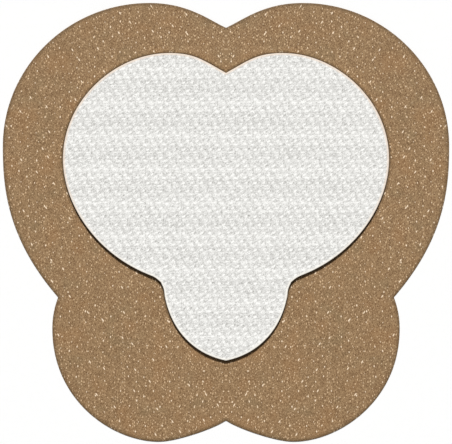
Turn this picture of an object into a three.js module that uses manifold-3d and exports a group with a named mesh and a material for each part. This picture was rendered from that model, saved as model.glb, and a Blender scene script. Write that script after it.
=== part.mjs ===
// A foam dressing for the sacrum, lying skin side up as it comes to rest on a table.
// Millimetres, +Z up, +Y towards the wearer's head. The origin is on the table under the middle.
//
// Three pieces lie in two layers: a thin backing film, and on it a tan adhesive border with a window
// in which the foam pad is bonded to the film. The pad stands proud of the border.

import * as THREE from 'three';
import { mergeVertices } from 'three/addons/utils/BufferGeometryUtils.js';
import Module from 'manifold-3d';

const wasm = await Module();
wasm.setup();

// The whole dressing, seen from above: two broad upper lobes over two smaller lower ones
const dressingWidth = 230; // across the upper lobes
const dressingLength = 226; // from the top of the upper lobes to the foot of the lower lobes
const upperLobeSpacing = 79; // between the tops of the upper lobes
const topNotchDepth = 12.8;
const upperWidestDrop = 73.7; // from the top down to the widest place
const sideNotchWidth = 173; // across the notches between upper and lower lobes
const sideNotchDrop = 151.6; // from the top down to those notches
const lowerWidth = 179; // across the lower lobes
const lowerWidestRise = 58; // from the foot up to the widest place of the lower lobes
const lowerLobeSpacing = 69; // between the feet of the lower lobes
const bottomNotchDepth = 10.8;

// The foam pad, seen from above: two lobes that run down into a pointed tail
const padWidth = 167.5; // across the two lobes
const padLength = 158; // from the top of the lobes to the tip of the tail
const padDrop = 26.1; // breadth of border above the pad's lobes
const padLobeSpacing = 58.5; // between the tops of the pad's lobes
const padNotchDepth = 10.2;
const padWidestDrop = 54.4; // from the pad's top down to its widest place
const waistWidth = 80; // across the ends of the flanks, where the waist curves begin
const waistRise = 44.3; // from the tip up to the ends of the flanks
const tailWidth = 64; // across the tail, where the waist curves end
const tailRise = 36.8; // from the tip up to there

// Through the thickness
const filmThickness = 0.05;
const borderThickness = 0.8;
const borderRimBreadth = 0.7; // the border's outer edge is pressed down over this breadth
const borderRimDrop = 0.55;
const padThickness = 4.5;
const padEdgeBreadth = 1.3; // the rounding of the pad's upper edge, seen from above
const padEdgeDrop = 1.6;
const windowClearance = 0.3; // between the pad and the edge of its window, all round

const mostRounded = 0.8; // the most of a sheet's thickness that its edge rounding takes

// How finely the round edges are cut into flats
const outlineFlat = 4; // length of a flat along the outlines
const edgeFlat = 0.55; // and across a rounded edge
const fewestFlats = 2; // on any curve

function flatsAlong(length, flat) {
  return Math.ceil(Math.max(fewestFlats, length / flat));
}

// A stop is a point that an outline runs through. The outline arrives and leaves there along the given
// headings, in degrees anticlockwise from +X, and holds them for the given shares of the way to its
// neighbours, which sets how full each lobe is.
function stop(x, y, [arriveHeading, arriveShare], [leaveHeading, leaveShare]) {
  return { place: new THREE.Vector2(x, y), arriveHeading, arriveShare, leaveHeading, leaveShare };
}

function ahead(heading, distance) {
  return new THREE.Vector2(distance, 0).rotateAround(new THREE.Vector2(), THREE.MathUtils.degToRad(heading));
}

// The curve from one stop to the next
function run(from, to) {
  const way = from.place.distanceTo(to.place);
  return new THREE.CubicBezierCurve(
    from.place,
    from.place.clone().add(ahead(from.leaveHeading, from.leaveShare * way)),
    to.place.clone().sub(ahead(to.arriveHeading, to.arriveShare * way)),
    to.place,
  );
}

// A closed outline from the stops of its right half, which begins and ends on the axis of symmetry
function mirroredOutline(stops) {
  const right = [stops[0].place];
  for (let i = 1; i < stops.length; i += 1) {
    const curve = run(stops[i - 1], stops[i]);
    right.push(...curve.getSpacedPoints(flatsAlong(curve.getLength(), outlineFlat)).slice(1));
  }
  const left = right.slice(1, -1).reverse().map((point) => new THREE.Vector2(-point.x, point.y));
  return new THREE.Shape([...right, ...left]);
}

const onAxis = [0, 0]; // the first and last stops have no curve on their other side

function dressingOutline() {
  const top = dressingLength / 2;
  const foot = -top;
  return mirroredOutline([
    stop(0, top - topNotchDepth, onAxis, [25, 0.24]),
    stop(upperLobeSpacing / 2, top, [0, 0.48], [0, 0.4]),
    stop(dressingWidth / 2, top - upperWidestDrop, [-90, 0.38], [-90, 0.24]),
    stop(sideNotchWidth / 2, top - sideNotchDrop, [-131, 0.5], [-70, 0.25]),
    stop(lowerWidth / 2, foot + lowerWidestRise, [-90, 0.46], [-90, 0.46]),
    stop(lowerLobeSpacing / 2, foot, [180, 0.3], [180, 0.24]),
    stop(0, foot + bottomNotchDepth, [147, 0.22], onAxis),
  ]);
}

function padOutline() {
  const top = dressingLength / 2 - padDrop;
  const tip = top - padLength;
  return mirroredOutline([
    stop(0, top - padNotchDepth, onAxis, [29, 0.43]),
    stop(padLobeSpacing / 2, top, [0, 0.43], [0, 0.35]),
    stop(padWidth / 2, top - padWidestDrop, [-90, 0.4], [-90, 0.31]),
    stop(waistWidth / 2, tip + waistRise, [-158, 0.4], [-158, 0.38]),
    stop(tailWidth / 2, tip + tailRise, [-96.5, 0.39], [-96.5, 0.38]),
    stop(0, tip, [-168.5, 0.39], onAxis),
  ]);
}

// A sheet with a flat foot at z = 0 and vertical sides, whose upper edge is rounded off inwards.
// A thin sheet keeps some of its side below the rounding.
function roundedSheet(outline, thickness, edgeBreadth, edgeDrop) {
  const drop = Math.min(edgeDrop, mostRounded * thickness);
  const geometry = new THREE.ExtrudeGeometry(outline, {
    depth: thickness - drop,
    bevelThickness: drop,
    bevelSize: edgeBreadth,
    bevelOffset: -edgeBreadth,
    bevelSegments: flatsAlong(Math.hypot(edgeBreadth, drop), edgeFlat),
  });
  // The lower edge comes out rounded too, and is pressed flat into the foot
  const place = geometry.getAttribute('position');
  for (let i = 0; i < place.count; i += 1) {
    place.setZ(i, Math.max(place.getZ(i), 0));
  }
  return geometry;
}

// A straight cutter of an outline grown all round by a clearance, from below the foot to above the top
function cutter(outline, clearance, height) {
  return new THREE.ExtrudeGeometry(outline, {
    depth: height,
    bevelThickness: height,
    bevelSize: 0,
    bevelOffset: clearance,
    bevelSegments: 1,
  });
}

function toSolid(geometry) {
  const bare = geometry.clone();
  bare.deleteAttribute('normal');
  bare.deleteAttribute('uv');
  const merged = mergeVertices(bare);
  return new wasm.Manifold(new wasm.Mesh({
    numProp: 3,
    vertProperties: new Float32Array(merged.getAttribute('position').array),
    triVerts: new Uint32Array(merged.getIndex().array),
  }));
}

function toGeometry(solid) {
  const mesh = solid.getMesh();
  const geometry = new THREE.BufferGeometry();
  geometry.setAttribute('position', new THREE.BufferAttribute(mesh.vertProperties, 3));
  geometry.setIndex(new THREE.BufferAttribute(mesh.triVerts, 1));
  geometry.computeVertexNormals();
  return geometry;
}

function piece(name, geometry, height, finish) {
  const mesh = new THREE.Mesh(geometry, new THREE.MeshStandardMaterial(finish));
  mesh.name = name;
  mesh.position.z = height;
  return mesh;
}

function backingFilm() {
  const geometry = new THREE.ExtrudeGeometry(dressingOutline(), { depth: filmThickness, bevelEnabled: false });
  return piece('backing_film', geometry, 0, { color: '#b8a184', roughness: 0.45, metalness: 0 });
}

function adhesiveBorder() {
  const sheet = roundedSheet(dressingOutline(), borderThickness, borderRimBreadth, borderRimDrop);
  const window = cutter(padOutline(), windowClearance, borderThickness);
  const geometry = toGeometry(toSolid(sheet).subtract(toSolid(window)));
  return piece('adhesive_border', geometry, filmThickness, { color: '#9d805f', roughness: 0.6, metalness: 0 });
}

function foamPad() {
  const geometry = roundedSheet(padOutline(), padThickness, padEdgeBreadth, padEdgeDrop);
  return piece('foam_pad', geometry, filmThickness, { color: '#e7e6e2', roughness: 0.95, metalness: 0 });
}

const dressing = new THREE.Group();
dressing.add(backingFilm(), adhesiveBorder(), foamPad());

export default dressing;
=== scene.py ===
"""A foam dressing for the sacrum, lying skin side up on a pale table: a thin backing film, a tan adhesive
border and a white embossed foam pad."""

import math

import bpy
import numpy as np
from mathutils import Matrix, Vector
from mathutils.geometry import delaunay_2d_cdt


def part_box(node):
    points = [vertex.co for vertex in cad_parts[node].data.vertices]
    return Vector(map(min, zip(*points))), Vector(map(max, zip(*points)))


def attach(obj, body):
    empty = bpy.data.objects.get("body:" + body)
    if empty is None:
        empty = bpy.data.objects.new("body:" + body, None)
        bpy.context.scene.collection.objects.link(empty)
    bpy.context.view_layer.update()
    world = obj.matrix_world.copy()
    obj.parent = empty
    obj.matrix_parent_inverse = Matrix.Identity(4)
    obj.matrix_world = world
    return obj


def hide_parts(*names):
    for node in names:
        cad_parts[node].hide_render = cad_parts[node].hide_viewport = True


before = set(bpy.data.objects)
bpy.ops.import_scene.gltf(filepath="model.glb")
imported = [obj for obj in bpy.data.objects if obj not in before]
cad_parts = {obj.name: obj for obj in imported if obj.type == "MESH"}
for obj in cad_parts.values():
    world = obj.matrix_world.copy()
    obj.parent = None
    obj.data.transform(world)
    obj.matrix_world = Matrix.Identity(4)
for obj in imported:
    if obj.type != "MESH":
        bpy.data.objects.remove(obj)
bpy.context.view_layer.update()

MM = 0.001

# The picture is 452 pixels across. At this many millimetres a pixel the dressing fills it as photographed.
PICTURE_PIXELS = 452
PIXEL = 0.5154
CAMERA_LENS = 180
CAMERA_SENSOR = 36
PICTURE_RAISED = 0.14  # millimetres that the middle of the picture lies above the middle of the dressing

# The table, in millimetres
TABLE_HALF = 6000
TABLE_DROP = 0.02  # it lies this far below the film

# How the surfaces are cut into faces, in millimetres
PAD_GRAIN = 0.5
BORDER_GRAIN = 1.1
FILM_GRAIN = 2.0
CLEAR_SHARE = 0.7  # points within a face keep this share of its grain from the rings round it
CORNER_TURN = math.radians(14)  # a sharper turn of an outline than this is a corner, and stays one
SAME_HEIGHT = 0.001  # points that differ by less than this are level
EDGE_STEPS = 4  # rows of faces over a rounded edge
WINDOW_STEPS = 2

# The pad's upper edge, in millimetres
PAD_EDGE_BREADTH = 0.35
PAD_EDGE_DROP = 0.6
PAD_RIM = 0.7  # the band along the edge that is pressed smooth, rounding and all

# The emboss that is rolled into the foam, in millimetres and degrees
EMBOSS_PITCH = 4.6  # from one boss to the next along a row
EMBOSS_ROWS = 4.3  # from one row to the next, each shifted by half a pitch
EMBOSS_REPEAT = 4  # bosses and rows on the roller before it comes round again
EMBOSS_START = (-2.2, 0.7)  # where the roller's first boss falls
EMBOSS_RISE = 0.16
EMBOSS_MIDDLE = 0.25  # the mean height of the bosses, as a share of the rise
EMBOSS_SPREAD = 0.3  # and how far they stray from that
ROW_DEPTHS = (0.85, 1.05, 1.2, 0.9)  # how deep each row of the roller is cut
BOSS_SHIFT = (0, 0.15)  # from its place in the rows, across and up
BOSS_STRAY = 0.25
BOSS_SIZE = (1.45, 0.98)  # from its middle to where it has fallen to about a third, along and across
BOSS_SLANT = 6  # how steeply it rises to the right
BOSS_SLANT_STRAY = 12
BOSS_LEAST, BOSS_MOST = 0.8, 1.2  # shares between which a boss's size and depth vary
MARK_STRAY = (0.3, 0.25)
MARK_LEAST, MARK_MOST = 0.6, 1.4  # shares between which a mark's strength varies
PAD_UNEVEN = 0.2  # how strong the foam's own waves are, as a share of the emboss
SEED = 11

# The border's pressed rim, the edge of its window and its unevenness, in millimetres
RIM_BREADTH = 0.7
RIM_DROP = 0.45
WINDOW_ROUND = 0.12
BORDER_UNEVEN = 0.012

# How strongly painted shade darkens the border's cut edges, from 0 to 1
OUTER_EDGE_PAINTED_SHADE = 0.55
WINDOW_EDGE_PAINTED_SHADE = 1.0

# The foam's colours, as the light that they send back
FOAM_GREY = (0.355, 0.346, 0.325, 1)
FOAM_WHITE = (1.0, 0.993, 0.96, 1)
# Painted highlight along the foam's lower edges and painted shade along its upper edges
FOAM_RIM_PAINTED_HIGHLIGHT = (1.0, 0.96, 0.87, 1)
FOAM_RIM_PAINTED_SHADE = (0.88, 0.73, 0.6, 1)

# Where the foam lies between its grey, 0, and its white, 1, and how far each feature moves it
FOAM_MIDDLE = 0.632
# Bosses, crests and ridges get painted light, and pits and creases painted shade, in place of the emboss's
# own light and shade
CREST_PAINTED_HIGHLIGHT = 0.15
RIDGE_PAINTED_HIGHLIGHT = 0.35
PIT_PAINTED_SHADE = -0.12
CREASE_PAINTED_SHADE = -0.08
BOSS_PAINTED_LIGHT = 0.035
BAND_LIGHT = 0.032
CRINKLE_LIGHT = 1.1
GRAIN_LIGHT = 1.2

# The depths below the pad's top between which its side turns to its own white, in millimetres
FLANK_START = 0.5
FLANK_FULL = 1.3

# Colours as they look on a screen, from 0 to 255
FLANK_WHITE = (240, 235, 224)
TAN_DARK = (96, 64, 29)
TAN_LIGHT = (189, 156, 115)
TAN_REDDISH = (158, 112, 66)
TAN_GREENISH = (124, 110, 80)
# Painted shade in a small pit below and left of each speck
SPECK_PIT_SHADE = (92, 68, 42)
DUST = (232, 200, 160)
SPECK = (255, 231, 200)
# Painted shade along the border's cut edges
PAINTED_EDGE_SHADE = (76, 58, 32)
FILM_DARK = (186, 158, 126)
FILM_LIGHT = (198, 171, 140)
TABLE_DARK = (250, 250, 249)
TABLE_LIGHT = (252, 252, 252)

# The specks in the border lie in staggered rows. Each pair is half the distance from one speck to the next
# along a row, and the distance from one row to the next, in millimetres.
SPECK_ROWS = (4.33, 2.57)
DUST_ROWS = (1.3, 0.85)
COMMA_ROWS = (8.65, 6.4)


def foot_outline(node):
    """The boundary of a node's flat underside, anticlockwise, in millimetres. A window's edge is second."""
    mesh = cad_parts[node].data
    points = np.array([v.co for v in mesh.vertices]) / MM
    low = points[:, 2] < points[:, 2].min() + SAME_HEIGHT
    spots, where = np.unique(np.round(points[:, :2], 3), axis=0, return_inverse=True)
    where = where.reshape(-1)
    sides = set()
    for face in mesh.polygons:
        corners = list(face.vertices)
        if all(low[i] for i in corners):
            ring = [where[i] for i in corners]
            sides.update(zip(ring, ring[1:] + ring[:1]))
    following = {a: b for a, b in sides if (b, a) not in sides}
    outlines = []
    while following:
        start, spot = following.popitem()
        outline = [start]
        while spot != start:
            outline.append(spot)
            spot = following.pop(spot)
        outlines.append(anticlockwise(spots[outline]))
    return sorted(outlines, key=area_of, reverse=True)


def area_of(outline):
    x, y = outline.T
    return float((x * np.roll(y, -1) - np.roll(x, -1) * y).sum() / 2)


def anticlockwise(outline):
    return outline if area_of(outline) > 0 else outline[::-1]


def finer(outline, step):
    """The outline again as smooth curves through its points, with its corners kept, in even steps."""
    before = outline - np.roll(outline, 1, axis=0)
    after = np.roll(outline, -1, axis=0) - outline
    turn = np.arctan2(
        before[:, 0] * after[:, 1] - before[:, 1] * after[:, 0], (before * after).sum(1)
    )
    corners = np.nonzero(np.abs(turn) > CORNER_TURN)[0]
    outline = np.roll(outline, -corners[0], axis=0)
    corners = list(corners - corners[0]) + [len(outline)]
    outline = np.vstack([outline, outline[:1]])
    drawn = []
    for first, last in zip(corners, corners[1:]):
        drawn.append(even_steps(smooth_curve(outline[first : last + 1]), step)[:-1])
    return np.vstack(drawn)


def smooth_curve(stops, parts=10):
    """A Catmull-Rom curve through the stops."""
    held = np.vstack([2 * stops[0] - stops[1], stops, 2 * stops[-1] - stops[-2]])
    t = np.linspace(0, 1, parts, endpoint=False)[:, None]
    drawn = []
    for a, b, c, d in zip(held, held[1:], held[2:], held[3:]):
        bend = (2 * a - 5 * b + 4 * c - d) * t ** 2 + (3 * b - a - 3 * c + d) * t ** 3
        drawn.append(b + ((c - a) * t + bend) / 2)
    return np.vstack(drawn + [stops[-1:]])


def even_steps(line, step):
    along = np.r_[0, np.cumsum(np.linalg.norm(np.diff(line, axis=0), axis=1))]
    spots = np.linspace(0, along[-1], max(2, round(along[-1] / step) + 1))
    return np.c_[np.interp(spots, along, line[:, 0]), np.interp(spots, along, line[:, 1])]


def outward(outline):
    """The direction straight out of an anticlockwise outline at each point, eased round its corners."""
    along = np.roll(outline, -1, axis=0) - np.roll(outline, 1, axis=0)
    out = np.c_[along[:, 1], -along[:, 0]]
    for _ in range(3):
        out = out + np.roll(out, 1, axis=0) + np.roll(out, -1, axis=0)
        out /= np.linalg.norm(out, axis=1)[:, None]
    return out


def inside(points, outline):
    """Whether each point lies inside the outline."""
    found = np.zeros(len(points), bool)
    for (ax, ay), (bx, by) in zip(outline, np.roll(outline, -1, axis=0)):
        if ay != by:
            level = (points[:, 1] < ay) != (points[:, 1] < by)
            found ^= level & (points[:, 0] < ax + (points[:, 1] - ay) * (bx - ax) / (by - ay))
    return found


def staggered_points(outline, grain):
    """Points in staggered rows over the outline's box, a grain apart."""
    low, high = outline.min(0), outline.max(0)
    rise = grain * math.sqrt(0.75)
    rows = []
    for row, y in enumerate(np.arange(low[1], high[1], rise)):
        x = np.arange(low[0] + grain / 2 * (row % 2), high[0], grain)
        rows.append(np.c_[x, np.full(len(x), y)])
    return np.vstack(rows)


def put(name, data):
    """A new object of this name in the scene."""
    made = bpy.data.objects.new(name, data)
    bpy.context.scene.collection.objects.link(made)
    return made


class Skin:
    """A closed surface put together from rings of points and the sheets that fill them."""

    def __init__(self):
        self.points = []
        self.faces = []
        self.notes = {}

    def ring(self, outline, height):
        first = len(self.points)
        heights = np.broadcast_to(height, len(outline))
        self.points.extend(np.c_[outline, heights].tolist())
        return np.arange(first, first + len(outline))

    def wall(self, lower, upper):
        """Joins two rings of as many points. Going up, an anticlockwise ring gives a wall that faces out."""
        for a, b, c, d in zip(lower, np.roll(lower, -1), np.roll(upper, -1), upper):
            self.faces.append((a, b, c, d))

    def walls(self, rings):
        for lower, upper in zip(rings, rings[1:]):
            self.wall(lower, upper)

    def fill(self, rings, loose, height_of, up=True):
        """A sheet across the first ring, with the other rings as windows and loose points within."""
        fixed = [np.array([self.points[i][:2] for i in ring]) for ring in rings]
        flat = np.vstack(fixed + [loose])
        sides, first = [], 0
        for outline in fixed:
            spots = range(first, first + len(outline))
            sides += list(zip(spots, list(spots)[1:] + [first]))
            first += len(outline)
        _, _, triangles, *_ = delaunay_2d_cdt([Vector(p) for p in flat], sides, [], 0, 1e-7)
        triangles = np.array(triangles)
        middles = flat[triangles].mean(1)
        kept = inside(middles, fixed[0])
        for window in fixed[1:]:
            kept &= ~inside(middles, window)
        names = np.concatenate(list(rings) + [np.arange(len(loose)) + len(self.points)]).astype(int)
        heights = np.broadcast_to(height_of(loose), len(loose))
        self.points.extend(np.c_[loose, heights].tolist())
        for a, b, c in names[triangles[kept]]:
            self.faces.append((a, b, c) if up else (c, b, a))

    def seen_from_above(self):
        return np.array(self.points)[:, :2]

    def note(self, name, values):
        """Keeps a number for each point, which the material reads by its name."""
        self.notes[name] = np.asarray(values, float)

    def build(self, name, sharp):
        """The finished piece. Edges that turn by more than sharp degrees are drawn sharp."""
        mesh = bpy.data.meshes.new(name)
        mesh.from_pydata([[v * MM for v in point] for point in self.points], [], self.faces)
        for note, values in self.notes.items():
            mesh.attributes.new(note, "FLOAT", "POINT").data.foreach_set("value", values)
        mesh.validate()
        mesh.shade_smooth()
        mesh.set_sharp_from_angle(angle=math.radians(sharp))
        return put(name, mesh)


def rounding(outline, out, top, breadth, drop, steps):
    """Rings over a rounded upper edge, each as (outline, height), from its lowest to its highest."""
    for turn in np.linspace(0, math.pi / 2, steps + 1):
        yield outline - out * breadth * (1 - math.cos(turn)), top - drop * (1 - math.sin(turn))


class Roller:
    """The engraved roller that embosses the foam with staggered rows of bosses. They vary a little from cell
    to cell, and the roller comes round again."""

    def __init__(self):
        draw = np.random.default_rng(SEED)
        cells = (EMBOSS_REPEAT, EMBOSS_REPEAT)
        self.shift = draw.normal(0, BOSS_STRAY, cells + (2,)) + BOSS_SHIFT
        self.size = draw.uniform(BOSS_LEAST, BOSS_MOST, cells + (2,)) * BOSS_SIZE
        self.slant = np.radians(draw.normal(BOSS_SLANT, BOSS_SLANT_STRAY, cells))
        self.depth = draw.uniform(BOSS_LEAST, BOSS_MOST, cells) * ROW_DEPTHS

    def press(self, spots):
        """How high the foam stands at each spot, from 0 in the hollows to about 1 on the bosses."""
        spots = spots - EMBOSS_START
        height = np.zeros(len(spots))
        row_here = np.floor(spots[:, 1] / EMBOSS_ROWS).astype(int)
        for row in (row_here - 1, row_here, row_here + 1):
            start = (row % 2) * EMBOSS_PITCH / 2
            column_here = np.floor((spots[:, 0] - start) / EMBOSS_PITCH).astype(int)
            for column in (column_here - 1, column_here, column_here + 1, column_here + 2):
                cell = (column % EMBOSS_REPEAT, row % EMBOSS_REPEAT)
                away = spots - np.c_[start + column * EMBOSS_PITCH, row * EMBOSS_ROWS] - self.shift[cell]
                slant = self.slant[cell]
                along = (away[:, 0] * np.cos(slant) + away[:, 1] * np.sin(slant)) / self.size[cell][:, 0]
                over = (away[:, 1] * np.cos(slant) - away[:, 0] * np.sin(slant)) / self.size[cell][:, 1]
                height = np.maximum(height, self.depth[cell] * np.exp(-along ** 2 - over ** 2))
        return height


def ripple(spots, count, shortest, longest, seed):
    """Many seeded waves over each other, of every heading, that stray from 0 by 1 on the whole."""
    draw = np.random.default_rng(seed)
    rise = np.zeros(len(spots))
    for _ in range(count):
        length = shortest * (longest / shortest) ** draw.uniform()
        heading, phase = draw.uniform(0, 2 * math.pi, 2)
        way = spots @ [math.cos(heading), math.sin(heading)]
        rise += np.cos(2 * math.pi * way / length + phase)
    return rise * math.sqrt(2 / count)


def foam_pad():
    low, high = (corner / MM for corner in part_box("foam_pad"))
    outline = finer(foot_outline("foam_pad")[0], PAD_GRAIN)
    out = outward(outline)
    roller = Roller()

    def emboss(spots):
        uneven = ripple(spots, count=60, shortest=3, longest=9, seed=SEED + 1)
        return (roller.press(spots) - EMBOSS_MIDDLE) / EMBOSS_SPREAD + PAD_UNEVEN * uneven

    def face(spots):
        return high.z + EMBOSS_RISE * EMBOSS_SPREAD * emboss(spots)

    skin = Skin()
    rings = [skin.ring(outline, low.z), skin.ring(outline, (low.z + high.z - PAD_EDGE_DROP) / 2)]
    for edge, height in rounding(outline, out, high.z, PAD_EDGE_BREADTH, PAD_EDGE_DROP, EDGE_STEPS):
        rings.append(skin.ring(edge, height))
    edge = outline - out * PAD_RIM
    rings.append(skin.ring(edge, (high.z + face(edge)) / 2))
    skin.walls(rings)
    side = len(skin.points)
    inner = outline - out * (PAD_RIM + CLEAR_SHARE * PAD_GRAIN)
    loose = staggered_points(outline, PAD_GRAIN)
    loose = loose[inside(loose, inner)]
    skin.fill([rings[-1]], loose, face)
    skin.fill([rings[0]], np.empty((0, 2)), lambda spots: low.z, up=False)
    skin.note("emboss", emboss(skin.seen_from_above()))
    skin.note("rim", np.arange(len(skin.points)) < side)
    return skin.build("dressing_foam", sharp=50)


def adhesive_border():
    low, high = (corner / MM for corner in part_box("adhesive_border"))
    outlines = foot_outline("adhesive_border")
    rim = finer(outlines[0], BORDER_GRAIN)
    window = finer(outlines[1], BORDER_GRAIN)
    rim_out, window_out = outward(rim), outward(window)

    def face(spots):
        return high.z + BORDER_UNEVEN * ripple(spots, count=30, shortest=5, longest=40, seed=SEED + 2)

    skin = Skin()
    outer = [skin.ring(rim, low.z)]
    pressed = rounding(rim, rim_out, high.z, RIM_BREADTH, RIM_DROP, EDGE_STEPS)
    for step, (edge, height) in enumerate(pressed):
        outer.append(skin.ring(edge, height + (face(edge) - high.z) * step / EDGE_STEPS))
    outside = len(skin.points)
    inner = [skin.ring(window, low.z)]
    for edge, height in rounding(window, -window_out, high.z, WINDOW_ROUND, WINDOW_ROUND, WINDOW_STEPS):
        inner.append(skin.ring(edge, height + face(edge) - high.z))
    skin.walls(outer)
    skin.walls([ring[::-1] for ring in inner])
    window_side = len(skin.points) - outside
    loose = staggered_points(rim, BORDER_GRAIN)
    clear = CLEAR_SHARE * BORDER_GRAIN
    loose = loose[inside(loose, rim - rim_out * (RIM_BREADTH + clear))]
    loose = loose[~inside(loose, window + window_out * (WINDOW_ROUND + clear))]
    skin.fill([outer[-1], inner[-1]], loose, face)
    skin.fill([outer[0], inner[0]], np.empty((0, 2)), lambda spots: low.z, up=False)
    # Painted shade along the outer cut edge, and stronger round the window, where it deepens the pad's
    # shadow
    skin.note("rim", [OUTER_EDGE_PAINTED_SHADE] * outside + [WINDOW_EDGE_PAINTED_SHADE] * window_side + [0.0] * len(loose))
    return skin.build("dressing_border", sharp=40), (area_of(rim) - area_of(window)) * MM ** 2


def backing_film():
    low, high = (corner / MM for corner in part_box("backing_film"))
    outline = finer(foot_outline("backing_film")[0], BORDER_GRAIN)
    skin = Skin()
    rings = [skin.ring(outline, low.z), skin.ring(outline, high.z)]
    skin.walls(rings)
    loose = staggered_points(outline, FILM_GRAIN)
    loose = loose[inside(loose, outline - outward(outline) * FILM_GRAIN)]
    skin.fill([rings[1]], loose, lambda spots: high.z)
    skin.fill([rings[0]], loose, lambda spots: low.z, up=False)
    return skin.build("dressing_film", sharp=40), area_of(outline) * MM ** 2


class Wire:
    """An output inside a material. Arithmetic on wires adds the Math nodes that work it out."""

    def __init__(self, recipe, socket):
        self.recipe = recipe
        self.socket = socket

    def maths(self, operation, *values):
        return self.recipe.node("Math", {"operation": operation}, dict(enumerate(values)))

    def __add__(self, other):
        return self.maths("ADD", self, other)

    __radd__ = __add__

    def __sub__(self, other):
        return self.maths("SUBTRACT", self, other)

    def __rsub__(self, other):
        return self.maths("SUBTRACT", other, self)

    def __mul__(self, other):
        return self.maths("MULTIPLY", self, other)

    __rmul__ = __mul__

    def __truediv__(self, other):
        return self.maths("DIVIDE", self, other)

    def __abs__(self):
        return self.maths("ABSOLUTE", self)

    def __pow__(self, power):
        return self.maths("POWER", self, power)

    def __mod__(self, other):
        return self.maths("FLOORED_MODULO", self, other)

    def floor(self):
        return self.maths("FLOOR", self)

    def wave(self, start=0.0):
        return self.maths("SINE", self + start)

    def at_least(self, other):
        return self.maths("MAXIMUM", self, other)

    def above(self, threshold):
        return self.maths("GREATER_THAN", self, threshold)

    def fade(self, start, end):
        """0 at start, 1 at end and beyond, eased between. start may be the larger."""
        values = {"Value": self, "From Min": start, "From Max": end}
        return self.recipe.node("MapRange", {"interpolation_type": "SMOOTHSTEP"}, values)


class Recipe:
    """A material mixed from nodes. Places on the piece are in millimetres."""

    def __init__(self, name):
        self.material = bpy.data.materials.new(name)
        self.material.use_nodes = True
        self.tree = self.material.node_tree
        self.tree.nodes.clear()
        place = self.node("TexCoord", output="Object")
        self.place = self.node("VectorMath", {"operation": "SCALE"}, {0: place, "Scale": 1 / MM})
        self.x, self.y, self.z = self.split(self.place)

    def node(self, kind, settings=None, values=None, output=0):
        """One node of a kind: its settings are made first, then its sockets get their values or links."""
        made = self.tree.nodes.new("ShaderNode" + kind)
        for name, setting in (settings or {}).items():
            if name == "stops":
                self.set_stops(made.color_ramp, setting)
            else:
                setattr(made, name, setting)
        for name, value in (values or {}).items():
            socket = made.inputs[name]
            if isinstance(value, Wire):
                self.tree.links.new(value.socket, socket)
            else:
                socket.default_value = value
        return Wire(self, made.outputs[output])

    @staticmethod
    def set_stops(ramp, stops):
        while len(ramp.elements) < len(stops):
            ramp.elements.new(1.0)
        for element, (place, colour) in zip(ramp.elements, stops):
            element.position = place
            element.color = colour

    def split(self, vector):
        made = self.node("SeparateXYZ", None, {0: vector}).socket.node
        return [Wire(self, output) for output in made.outputs]

    def join(self, x, y, z=0.0):
        return self.node("CombineXYZ", None, {0: x, 1: y, 2: z})

    def note(self, name):
        """A number that was kept for each point of the piece."""
        return self.node("Attribute", {"attribute_name": name}, output="Fac")

    def noise(self, place, size, detail=2.0, roughness=0.5):
        """Cloudy noise from 0 to 1 whose blots are about size millimetres."""
        values = {"Vector": place, "Scale": 1 / size, "Detail": detail, "Roughness": roughness}
        return self.node("TexNoise", {"noise_dimensions": "3D"}, values)

    def blend(self, share, under, over):
        settings = {"data_type": "RGBA", "clamp_factor": True}
        return self.node("Mix", settings, {0: share, 6: under, 7: over}, output=2)

    def bumps(self, height, depth):
        """Relief of a height from 0 to 1 that stands depth millimetres."""
        return self.node("Bump", None, {"Height": height, "Distance": depth * MM}, output="Normal")

    def finish(self, colour, roughness, relief=None, **same_all_over):
        values = {"Base Color": colour, "Roughness": roughness}
        if relief is not None:
            values["Normal"] = relief
        values.update({name.replace("_", " "): value for name, value in same_all_over.items()})
        shader = self.node("BsdfPrincipled", None, values)
        out = self.tree.nodes.new("ShaderNodeOutputMaterial")
        self.tree.links.new(shader.socket, out.inputs["Surface"])
        return self.material


def linear(red, green, blue):
    """A colour given as it looks on a screen, from 0 to 255, as the light that it sends back."""
    parts = [part / 255 for part in (red, green, blue)]
    return [p / 12.92 if p < 0.04045 else ((p + 0.055) / 1.055) ** 2.4 for p in parts] + [1.0]


def rolled_noise(recipe, long, short):
    """Cloudy noise that comes round with the roller. Its blots are long millimetres long, rising to the
    right, and short across."""
    width, height = EMBOSS_PITCH * EMBOSS_REPEAT, EMBOSS_ROWS * EMBOSS_REPEAT
    per_mm = 2 * math.pi * math.hypot(1 / width, 1 / height)
    u = recipe.x * (2 * math.pi / width)
    v = recipe.y * (2 * math.pi / height)
    along, over = v + u, v - u
    far, near = 1 / (per_mm * long), 1 / (per_mm * short)
    place = recipe.join(along.wave() * far, along.wave(math.pi / 2) * far, over.wave() * near)
    values = {"Vector": place, "W": over.wave(math.pi / 2) * near, "Scale": 1.0, "Detail": 1.0}
    return recipe.node("TexNoise", {"noise_dimensions": "4D"}, values) - 0.5


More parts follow.
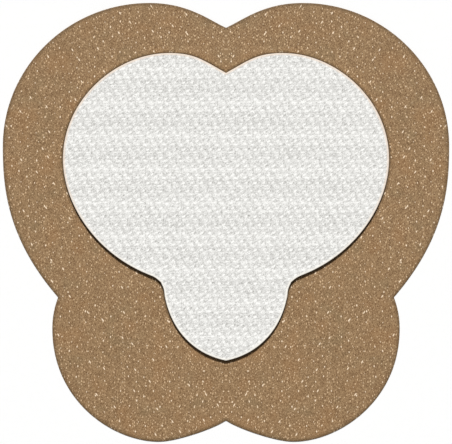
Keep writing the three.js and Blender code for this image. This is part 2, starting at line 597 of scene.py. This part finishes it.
def rolled_marks(recipe, at, size, slant, draw):
    """A small mark in each cell of the roller: about 1 on it and 0 beyond. at and size are in millimetres,
    from the cell's boss, and draw is a number that tells its chances apart from other marks'."""
    x = recipe.x - (EMBOSS_START[0] + at[0] - EMBOSS_PITCH / 2)
    y = recipe.y - (EMBOSS_START[1] + at[1] - EMBOSS_ROWS / 2)
    row = (y / EMBOSS_ROWS).floor()
    x = x - (row % 2) * (EMBOSS_PITCH / 2)
    column = (x / EMBOSS_PITCH).floor()
    cell = recipe.join(column % EMBOSS_REPEAT, row % EMBOSS_REPEAT, draw)
    chance = recipe.split(recipe.node("TexWhiteNoise", None, {"Vector": cell}, output="Color"))
    x = x - (column + 0.5) * EMBOSS_PITCH + chance[0] * (2 * MARK_STRAY[0]) - MARK_STRAY[0]
    y = y - (row + 0.5) * EMBOSS_ROWS + chance[1] * (2 * MARK_STRAY[1]) - MARK_STRAY[1]
    cos, sin = math.cos(math.radians(slant)), math.sin(math.radians(slant))
    along = (x * cos + y * sin) / size[0]
    over = (y * cos - x * sin) / size[1]
    strength = chance[2] * (MARK_MOST - MARK_LEAST) + MARK_LEAST
    return (along * along + over * over).fade(1.0, 0.3) * strength


def foam():
    """Soft white foam with a fine open grain, painted light on its bosses, crests and ridges, painted shade
    in its hollows, pits and creases, and a pressed rim with a painted highlight below and painted shade
    above.
    """
    recipe = Recipe("white_foam")
    rim = recipe.note("rim")
    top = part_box("foam_pad")[1].z / MM
    flank = recipe.z.fade(top - FLANK_START, top - FLANK_FULL)
    # Painted highlights on each boss's crest and ridge, painted shade in its pit and crease; together they
    # also give the relief
    crest = rolled_marks(recipe, at=(-0.1, 0.6), size=(1.6, 0.6), slant=10, draw=1)
    ridge = rolled_marks(recipe, at=(1.15, -1.95), size=(1.1, 0.62), slant=32, draw=2)
    pit_shade = rolled_marks(recipe, at=(2.4, -2.0), size=(0.95, 0.9), slant=0, draw=3)
    crease = rolled_marks(recipe, at=(2.3, 0.1), size=(0.55, 1.2), slant=-10, draw=4)
    marks = crest * CREST_PAINTED_HIGHLIGHT + ridge * RIDGE_PAINTED_HIGHLIGHT + pit_shade * PIT_PAINTED_SHADE + crease * CREASE_PAINTED_SHADE
    turn = 2 * math.pi / (EMBOSS_ROWS * EMBOSS_REPEAT)
    band = ((recipe.y - EMBOSS_START[1]) * turn).wave(-math.pi / 2)
    crinkle = rolled_noise(recipe, long=0.9, short=0.5)
    # The grain is drawn out along lines that rise to the right by about 35 degrees
    along = recipe.x * 0.82 + recipe.y * 0.57
    over = recipe.y * 0.82 - recipe.x * 0.57
    place = recipe.join(along * 0.8, over * 1.3, recipe.z)
    grain = recipe.noise(place, size=0.6, detail=1.0) - 0.5
    # Painted light on the bosses and painted shade in the hollows, from the emboss's height
    light = recipe.note("emboss") * BOSS_PAINTED_LIGHT + marks + band * BAND_LIGHT
    light = light + crinkle * CRINKLE_LIGHT + grain * GRAIN_LIGHT + FOAM_MIDDLE
    colour = recipe.blend(light, FOAM_GREY, FOAM_WHITE)
    # Painted highlight on the rim towards the near side, turning to painted shade towards the upper lobes
    rim_painted_light = recipe.blend(recipe.y.fade(-30, 30), FOAM_RIM_PAINTED_HIGHLIGHT, FOAM_RIM_PAINTED_SHADE)
    colour = recipe.blend(rim * 0.75, colour, rim_painted_light)
    pores = recipe.noise(recipe.place, size=0.45, roughness=0.6)
    colour = recipe.blend(flank * (pores * 0.5 + 0.6), colour, linear(*FLANK_WHITE))
    relief = recipe.bumps(marks + crinkle * 0.8 + grain * 0.8, depth=0.1)
    return recipe.finish(colour, roughness=0.92, relief=relief, Sheen_Weight=0.1, Specular_IOR_Level=0.3)


def speck_field(recipe, x, y, across, up, scatter):
    """The way from each place to the nearest speck, in millimetres, and three numbers drawn for that speck.
    The specks lie in staggered rows, twice across apart along a row and up from row to row, strewn a
    little."""
    s = x / (2 * across) + y / (2 * up)
    t = x / (2 * across) - y / (2 * up)
    values = {"Vector": recipe.join(s, t), "Scale": 1.0, "Randomness": scatter}
    cell = recipe.node("TexVoronoi", {"voronoi_dimensions": "2D"}, values).socket.node
    near_s, near_t, _ = recipe.split(Wire(recipe, cell.outputs["Position"]))
    drawn = recipe.split(Wire(recipe, cell.outputs["Color"]))
    away_x = x - (near_s + near_t) * across
    away_y = y - (near_s - near_t) * up
    return away_x, away_y, drawn


def round_speck(away_x, away_y, radius):
    distance = (away_x * away_x + away_y * away_y) ** 0.5
    return 1 - (distance / radius).fade(0.45, 1.0)


def tan_adhesive():
    """Tan adhesive, mottled brown, with cream specks strewn through it, painted shade in a small pit beside
    each speck and painted shade along its cut edges.
    """
    recipe = Recipe("tan_adhesive")
    # The right half of the sheet mirrors the left
    x, y = abs(recipe.x), recipe.y
    rim = recipe.note("rim")
    place = recipe.join(x * 2.3, y, recipe.z)
    mottle = recipe.noise(place, size=0.6, roughness=0.75)
    cloud = recipe.noise(place, size=7.0)
    warm = recipe.noise(recipe.join(x, y, z=40.0), size=11.0, detail=1.0)
    shade = (mottle - 0.5) * 3.05 + (cloud - 0.5) * 0.2 + 0.44
    colour = recipe.blend(shade, linear(*TAN_DARK), linear(*TAN_LIGHT))
    colour = recipe.blend(warm.fade(0.5, 0.75) * 0.22, colour, linear(*TAN_REDDISH))
    colour = recipe.blend(warm.fade(0.45, 0.25) * 0.22, colour, linear(*TAN_GREENISH))

    away_x, away_y, drawn = speck_field(recipe, x, y, *SPECK_ROWS, scatter=0.45)
    size = drawn[0] ** 2 * 0.27 + 0.18
    bright = round_speck(away_x, away_y * 0.6, size) * drawn[1].above(0.12)
    # Painted shade in a small pit just below and left of each speck
    pit_shade = round_speck(away_x + 0.45, away_y + 0.4, size) * drawn[1].above(0.4)
    fine_x, fine_y, fine = speck_field(recipe, x + 1.7, y + 0.9, *DUST_ROWS, scatter=0.9)
    dust = round_speck(fine_x, fine_y * 0.6, fine[0] * 0.2 + 0.2) * fine[1].fade(0.35, 0.95)
    long_x, long_y, long_draw = speck_field(recipe, x + 3.1, y + 5.3, *COMMA_ROWS, scatter=0.6)
    leaning = long_x * 1.6 - long_y * 0.8
    comma = round_speck(leaning, long_y * 0.75, radius=0.7) * long_draw[1].above(0.4)

    colour = recipe.blend(pit_shade * 0.5, colour, linear(*SPECK_PIT_SHADE))
    colour = recipe.blend(dust * 0.85, colour, linear(*DUST))
    colour = recipe.blend(bright.at_least(comma) * 0.95, colour, linear(*SPECK))
    # Painted shade along the cut edges
    colour = recipe.blend(rim * 0.85, colour, linear(*PAINTED_EDGE_SHADE))
    relief = recipe.bumps(mottle + bright * 0.5, depth=0.1)
    return recipe.finish(colour, roughness=0.66, relief=relief, Specular_IOR_Level=0.3)


def beige_film():
    """Thin beige film with a soft satin sheen and a fine crinkle."""
    recipe = Recipe("beige_film")
    crinkle = recipe.noise(recipe.place, size=1.4, detail=3.0, roughness=0.6)
    cloud = recipe.noise(recipe.place, size=25.0)
    stops = [(0.35, linear(*FILM_DARK)), (0.65, linear(*FILM_LIGHT))]
    colour = recipe.node("ValToRGB", {"stops": stops}, {0: crinkle * 0.5 + cloud * 0.5})
    relief = recipe.bumps(crinkle, depth=0.03)
    return recipe.finish(colour, roughness=crinkle * 0.15 + 0.38, relief=relief)


def table_top():
    """The pale table under the dressing."""
    recipe = Recipe("pale_table")
    grain = recipe.noise(recipe.place, size=3.0)
    colour = recipe.blend(grain, linear(*TABLE_DARK), linear(*TABLE_LIGHT))
    mesh = bpy.data.meshes.new("table_top")
    half, height = TABLE_HALF * MM, -TABLE_DROP * MM
    corners = [(-half, -half, height), (half, -half, height), (half, half, height), (-half, half, height)]
    mesh.from_pydata(corners, [], [(0, 1, 2, 3)])
    mesh.materials.append(recipe.finish(colour, roughness=0.8))
    top = put("table_top", mesh)


def camera_above():
    data = bpy.data.cameras.new("camera_above")
    data.lens = CAMERA_LENS
    data.sensor_width = CAMERA_SENSOR
    camera = put("camera_above", data)
    camera.location = (0, PICTURE_RAISED * MM, PICTURE_PIXELS * PIXEL * MM * CAMERA_LENS / CAMERA_SENSOR)
    bpy.context.scene.camera = camera


def far_light(name, strength, breadth, turn):
    """A light from far off. With no turn it shines straight down, and with a positive one towards the upper
    lobes. breadth and turn are in degrees."""
    data = bpy.data.lights.new(name, "SUN")
    data.energy = strength
    data.angle = math.radians(breadth)
    light = put(name, data)
    light.rotation_euler = (math.radians(turn), 0, 0)


def studio_light():
    """A key light from beyond the upper lobes, high up, a weak low one from the near side, and even light
    all round."""
    far_light("key_light", strength=3.2, breadth=4, turn=-29.5)
    far_light("near_light", strength=0.27, breadth=40, turn=70)
    world = bpy.data.worlds.new("even_light")
    world.use_nodes = True
    background = world.node_tree.nodes["Background"]
    background.inputs["Color"].default_value = (1, 1, 1, 1)
    background.inputs["Strength"].default_value = 0.12
    bpy.context.scene.world = world
    bpy.context.scene.view_settings.view_transform = "Standard"


def dress(piece, node, material):
    piece.data.materials.append(material)
    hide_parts(node)
    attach(piece, "root")


camera_above()
studio_light()
table_top()

film, film_area = backing_film()
dress(film, "backing_film", beige_film())
border, border_area = adhesive_border()
dress(border, "adhesive_border", tan_adhesive())
pad = foam_pad()
dress(pad, "foam_pad", foam())
